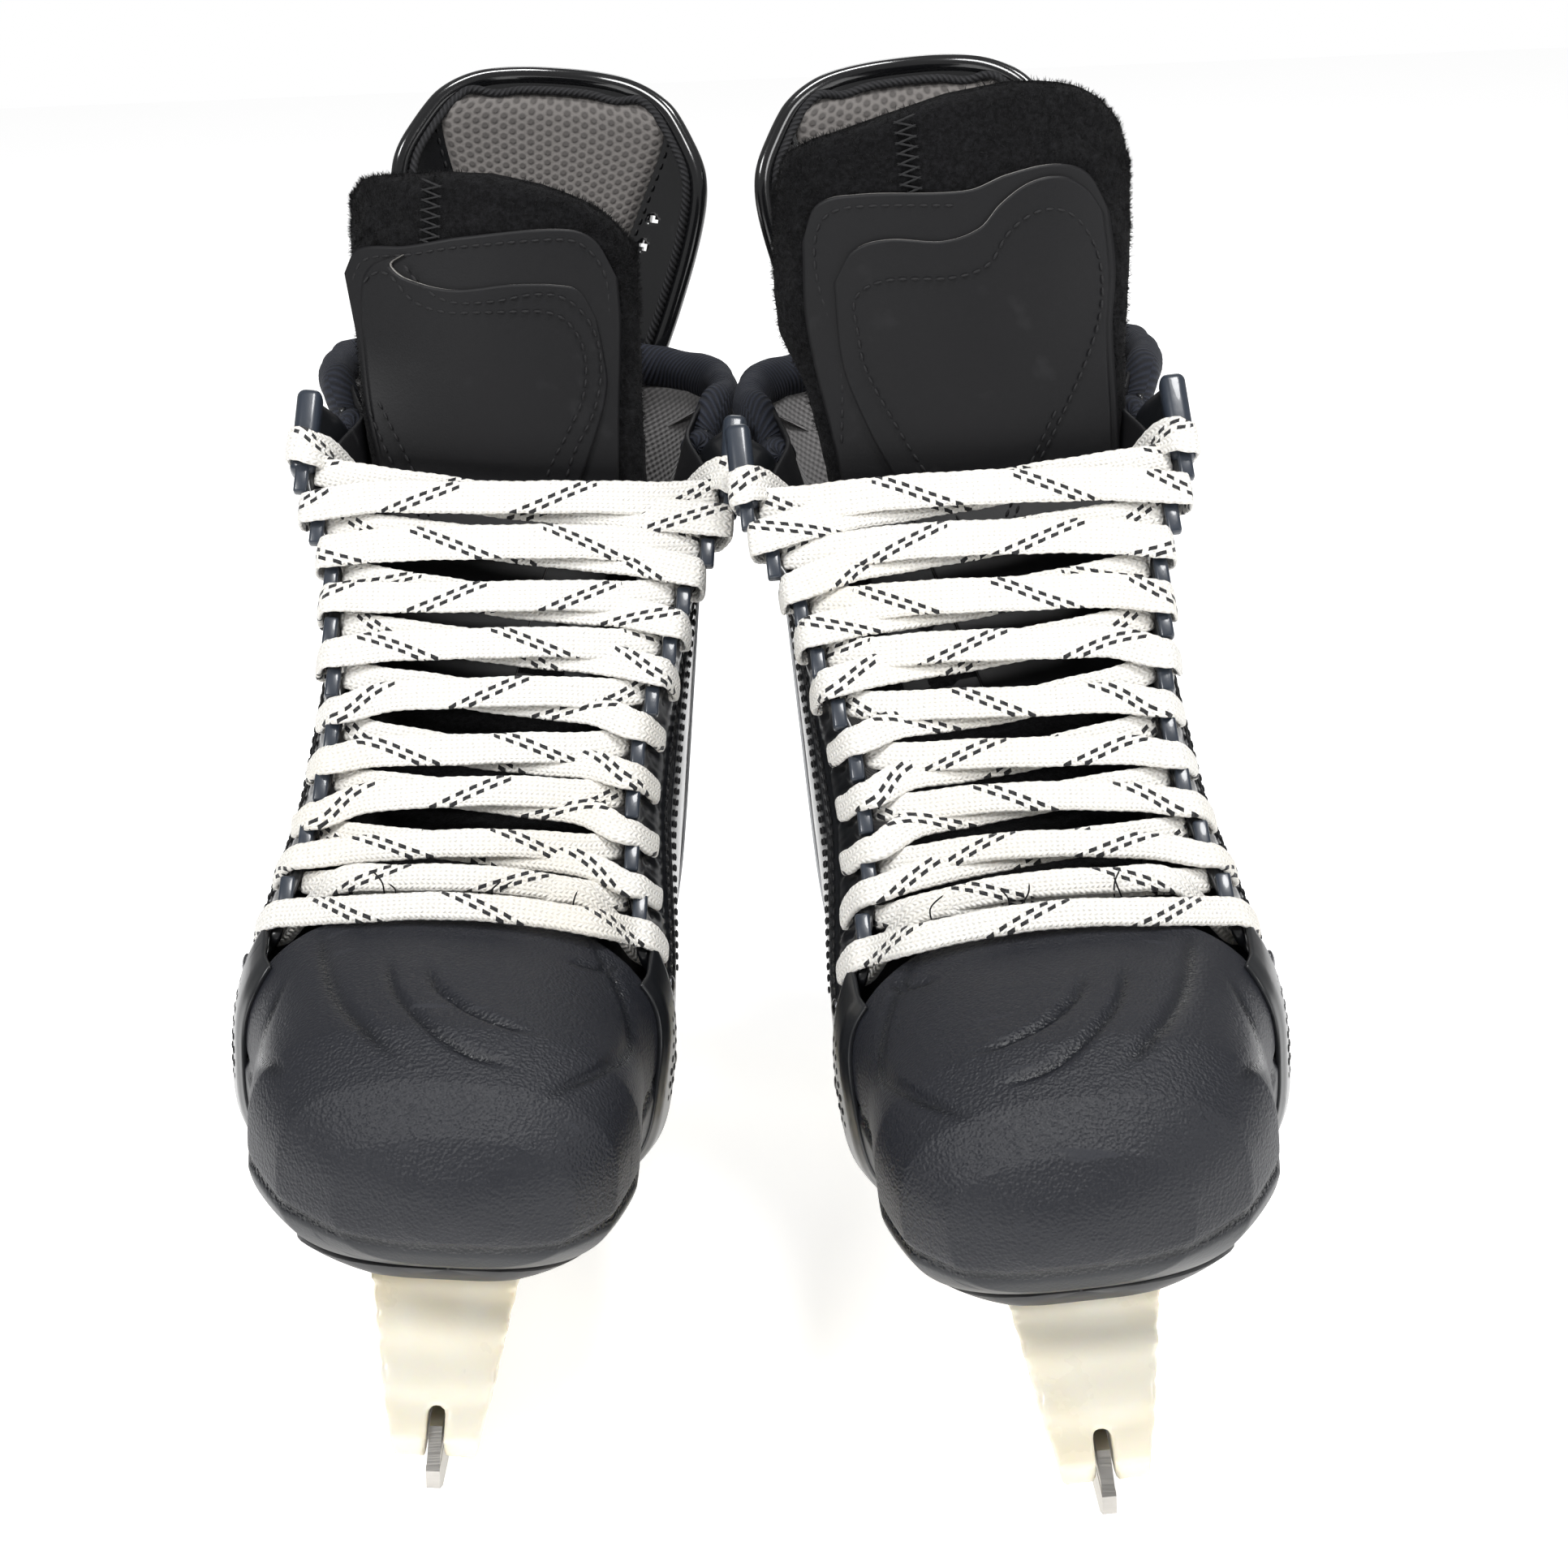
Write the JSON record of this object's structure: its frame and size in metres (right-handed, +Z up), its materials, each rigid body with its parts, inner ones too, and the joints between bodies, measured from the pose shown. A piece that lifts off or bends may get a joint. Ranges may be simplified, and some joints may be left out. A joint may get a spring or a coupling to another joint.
{
  "type": "hockey skates",
  "caption": "Laced ice hockey skates with moulded boots, felt tongues, tendon guards and runners that release from their holders.",
  "frame": {"origin": "on the ice plane, at the bottom centre of the pair's bounding box", "axes": "+Z up, -Y towards the toes, +X from the wearer's right skate to the left one"},
  "size_m": [0.2342, 0.3138, 0.289],
  "materials": {
    "quarter": "glossy black moulded boot quarters",
    "cap": "pebbled charcoal toe cap",
    "outsole": "black composite outsole",
    "liner": "warm grey mesh over foam",
    "facing": "slate facings, stitched",
    "lace": "cream woven flat lace",
    "felt": "thick black felt",
    "cover": "smooth black synthetic leather",
    "binding": "ribbed navy-black textile",
    "guard": "glossy black flexible plastic",
    "holder": "cream-white moulded plastic",
    "runner": "ground steel",
    "trigger": "black release trigger",
    "fastener": "steel rivets, pin and spring"
  },
  "bodies": {
    "right_boot": {"right_boot_shell": "quarter", "right_toe_cap": "cap", "right_heel_counter": "quarter", "right_outsole": "outsole", "right_footbed": "liner", "right_inner_facing": "facing", "right_outer_facing": "facing", "right_lace": "lace", "right_tongue_base": "felt", "right_inner_ankle_pad": "liner", "right_outer_ankle_pad": "liner", "right_collar_roll": "binding", "right_holder": "holder", "right_trigger_spring": "fastener", "right_trigger_pin": "fastener", "right_inner_rivet_1": "fastener", "right_outer_rivet_1": "fastener", "right_inner_rivet_2": "fastener", "right_outer_rivet_2": "fastener", "right_inner_rivet_3": "fastener", "right_outer_rivet_3": "fastener", "right_inner_rivet_4": "fastener", "right_outer_rivet_4": "fastener"},
    "right_tongue": {"right_tongue_felt": "felt", "right_tongue_cover": "cover"},
    "right_guard": {"right_tendon_guard": "guard", "right_tendon_guard_pad": "liner"},
    "right_runner": {"right_runner": "runner"},
    "right_trigger": {"right_trigger": "trigger"},
    "left_boot": {"left_boot_shell": "quarter", "left_toe_cap": "cap", "left_heel_counter": "quarter", "left_outsole": "outsole", "left_footbed": "liner", "left_inner_facing": "facing", "left_outer_facing": "facing", "left_lace": "lace", "left_tongue_base": "felt", "left_inner_ankle_pad": "liner", "left_outer_ankle_pad": "liner", "left_collar_roll": "binding", "left_holder": "holder", "left_trigger_spring": "fastener", "left_trigger_pin": "fastener", "left_inner_rivet_1": "fastener", "left_outer_rivet_1": "fastener", "left_inner_rivet_2": "fastener", "left_outer_rivet_2": "fastener", "left_inner_rivet_3": "fastener", "left_outer_rivet_3": "fastener", "left_inner_rivet_4": "fastener", "left_outer_rivet_4": "fastener"},
    "left_tongue": {"left_tongue_felt": "felt", "left_tongue_cover": "cover"},
    "left_guard": {"left_tendon_guard": "guard", "left_tendon_guard_pad": "liner"},
    "left_runner": {"left_runner": "runner"},
    "left_trigger": {"left_trigger": "trigger"}
  },
  "joints": [
    {"name": "right_tongue_flex", "type": "hinge", "parent": "right_boot", "child": "right_tongue", "pos_m": [-0.0533, 0.03628, 0.19716], "axis": [0.995, 0, -0.1], "range_deg": [-5, 35]},
    {"name": "right_guard_flex", "type": "hinge", "parent": "right_boot", "child": "right_guard", "pos_m": [-0.05407, 0.14548, 0.1896], "axis": [-0.995, 0, 0.1], "range_deg": [0, 20], "stiffness_Nm_per_rad": 2},
    {"name": "right_runner_release", "type": "hinge", "parent": "right_boot", "child": "right_runner", "pos_m": [-0.07111, -0.11372, 0.02005], "axis": [-0.995, 0, 0.1], "range_deg": [0, 10]},
    {"name": "right_trigger_pull", "type": "hinge", "parent": "right_boot", "child": "right_trigger", "pos_m": [-0.06901, 0.08828, 0.04094], "axis": [0.995, 0, -0.1], "range_deg": [0, 12], "stiffness_Nm_per_rad": 0.05},
    {"name": "left_tongue_flex", "type": "hinge", "parent": "left_boot", "child": "left_tongue", "pos_m": [0.0562, 0.01548, 0.19757], "axis": [0.9971, 0, 0.0765], "range_deg": [-5, 35]},
    {"name": "left_guard_flex", "type": "hinge", "parent": "left_boot", "child": "left_guard", "pos_m": [0.05678, 0.12468, 0.18999], "axis": [-0.9971, 0, -0.0765], "range_deg": [0, 20], "stiffness_Nm_per_rad": 2},
    {"name": "left_runner_release", "type": "hinge", "parent": "left_boot", "child": "left_runner", "pos_m": [0.06982, -0.13452, 0.02009], "axis": [-0.9971, 0, -0.0765], "range_deg": [0, 10]},
    {"name": "left_trigger_pull", "type": "hinge", "parent": "left_boot", "child": "left_trigger", "pos_m": [0.06822, 0.06748, 0.04103], "axis": [0.9971, 0, 0.0765], "range_deg": [0, 12], "stiffness_Nm_per_rad": 0.05},
    {"name": "skates_apart", "type": "slide", "parent": "right_boot", "child": "left_boot", "axis": [1, 0, 0], "range_m": [0, 0.3]}
  ]
}
